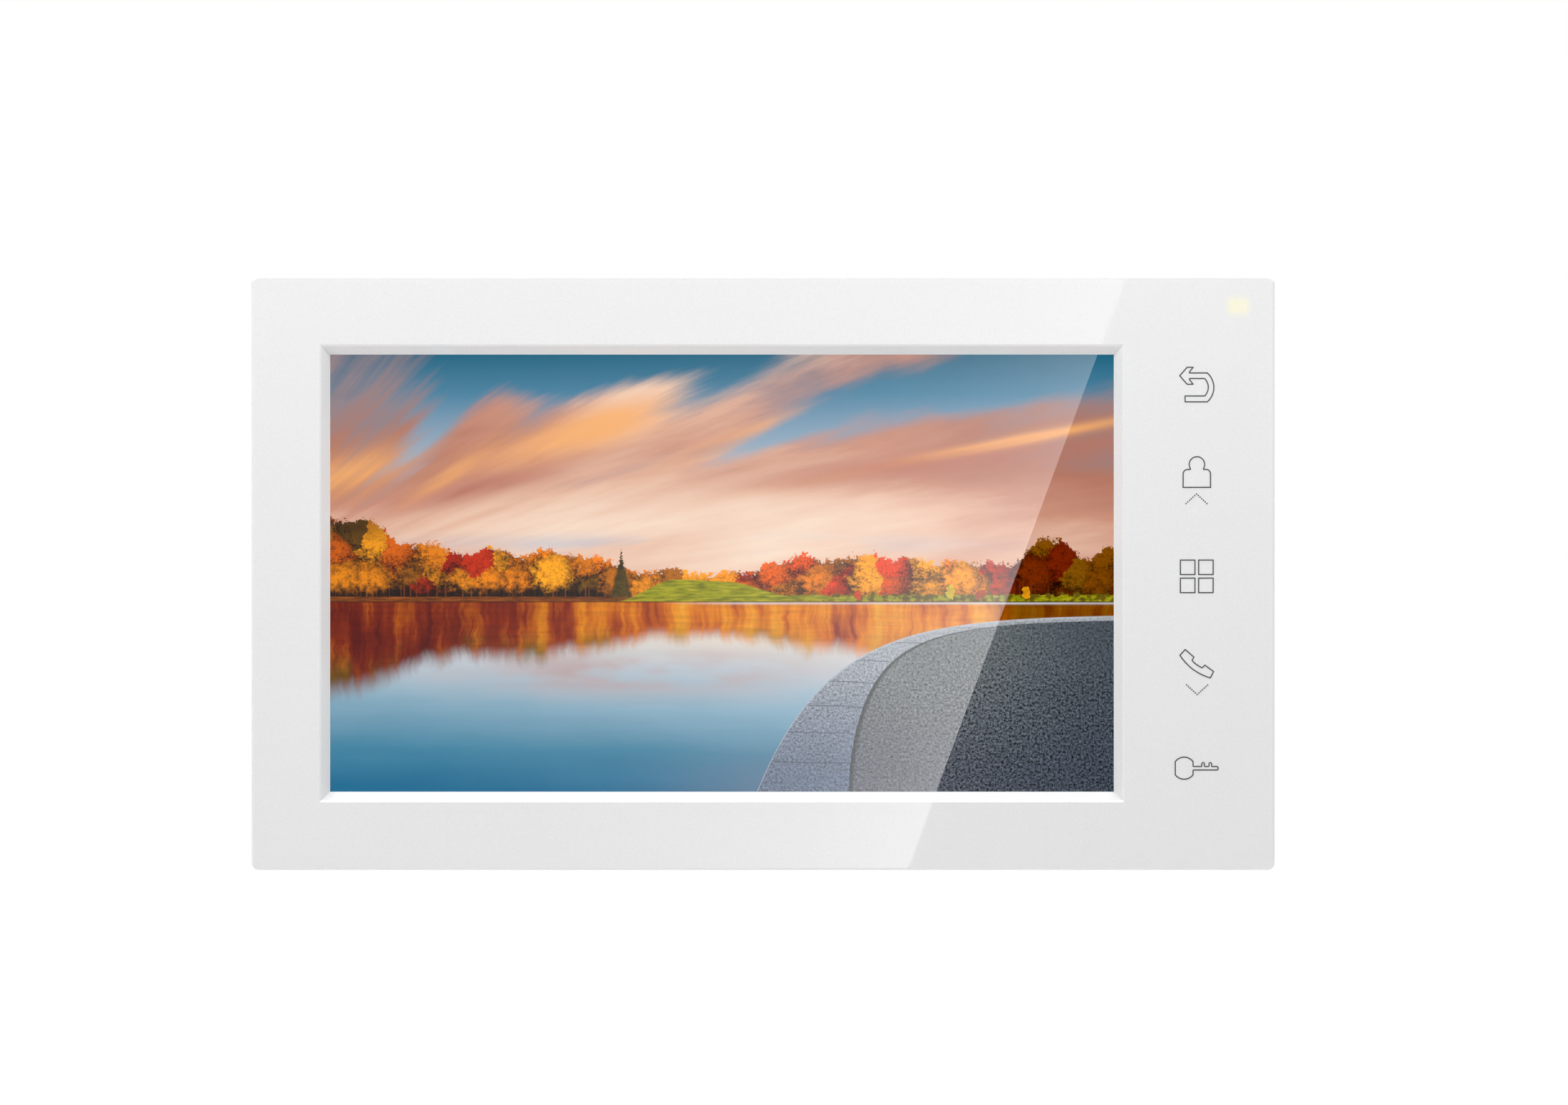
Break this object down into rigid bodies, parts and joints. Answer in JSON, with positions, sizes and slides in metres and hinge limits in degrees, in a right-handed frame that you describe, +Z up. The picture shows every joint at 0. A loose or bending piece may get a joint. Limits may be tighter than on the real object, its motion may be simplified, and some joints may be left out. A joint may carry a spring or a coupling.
{
  "type": "video intercom monitor",
  "caption": "Slim wall-mounted video intercom monitor: white casing, landscape screen in a bevelled window, a column of printed touch keys, and a hooked steel wall bracket.",
  "frame": {"origin": "middle of the bracket's wall-screw pattern, on the wall plane", "axes": "+X to the viewer's right, +Z up, the screen faces -Y and +Y points into the wall"},
  "size_m": [0.201, 0.022, 0.1168],
  "materials": {
    "white_casing": "satin white moulded plastic",
    "clear_pane": "clear polished",
    "screen_glass": "polarised display glass",
    "key_ink": "printed grey ink",
    "zinc_steel": "zinc-plated sheet",
    "bezel_steel": "black painted sheet",
    "screw_steel": "nickel-plated",
    "contact_metal": "tin-plated",
    "label_film": "matt silver film",
    "black_foam": "closed-cell foam",
    "black_rubber": "matt rubber",
    "diffuser": "milky clear",
    "led_body": "epoxy over white body",
    "flex_film": "amber film",
    "circuit_board": "solder mask",
    "chip_black": "moulded epoxy",
    "ferrite": "sintered ferrite",
    "capacitor_can": "drawn can",
    "connector_plastic": "natural nylon",
    "black_plastic": "moulded",
    "speaker_steel": "dark plated sheet",
    "speaker_paper": "pressed paper",
    "copper_wire": "enamelled wire",
    "lead_insulation": "soft insulation"
  },
  "bodies": {
    "bracket": {"wall_bracket": "zinc_steel"},
    "monitor": {"audio_amplifier": "chip_black", "backlight_leds": "led_body", "blank_label": "label_film", "board_screws": "screw_steel", "board_standoffs": "screw_steel", "capacitors": "capacitor_can", "case_screws": "screw_steel", "front_frame": "white_casing", "header_pins": "contact_metal", "key_icons": "key_ink", "lcd_backlight": "diffuser", "lcd_backplate": "zinc_steel", "lcd_bezel": "bezel_steel", "lcd_chassis": "zinc_steel", "lcd_connector": "connector_plastic", "lcd_flex": "flex_film", "lcd_gasket": "black_foam", "lcd_panel": "screen_glass", "lcd_screws": "screw_steel", "lead_connectors": "connector_plastic", "led_light_guide": "diffuser", "main_board": "circuit_board", "memory_card_socket": "contact_metal", "memory_chips": "chip_black", "microphone_boot": "black_rubber", "microphone_capsule": "capacitor_can", "microphone_leads": "lead_insulation", "power_inductors": "ferrite", "power_switch_body": "black_plastic", "processor": "chip_black", "rear_cover": "white_casing", "screen_window": "clear_pane", "speaker_basket": "speaker_steel", "speaker_clamps": "black_plastic", "speaker_cone": "speaker_paper", "speaker_gasket": "black_foam", "speaker_leads": "lead_insulation", "speaker_magnet": "ferrite", "speaker_screws": "screw_steel", "status_led": "led_body", "touch_board": "circuit_board", "touch_board_screws": "screw_steel", "touch_chip": "chip_black", "touch_connectors": "connector_plastic", "touch_pads": "black_foam", "touch_ribbon": "flex_film", "voice_coil": "copper_wire", "window_tape": "black_foam", "wiring_headers": "connector_plastic"},
    "power_switch": {"power_switch_knob": "black_plastic"},
    "memory_card": {"memory_card": "black_plastic"}
  },
  "joints": [
    {"name": "monitor_lift", "type": "slide", "parent": "bracket", "child": "monitor", "axis": [0, 0, 1], "range_m": [0, 0.006]},
    {"name": "power_switch_slide", "type": "slide", "parent": "monitor", "child": "power_switch", "axis": [0, 0, 1], "range_m": [0, 0.002]},
    {"name": "memory_card_slide", "type": "slide", "parent": "monitor", "child": "memory_card", "axis": [1, 0, 0], "range_m": [0, 0.016]}
  ]
}
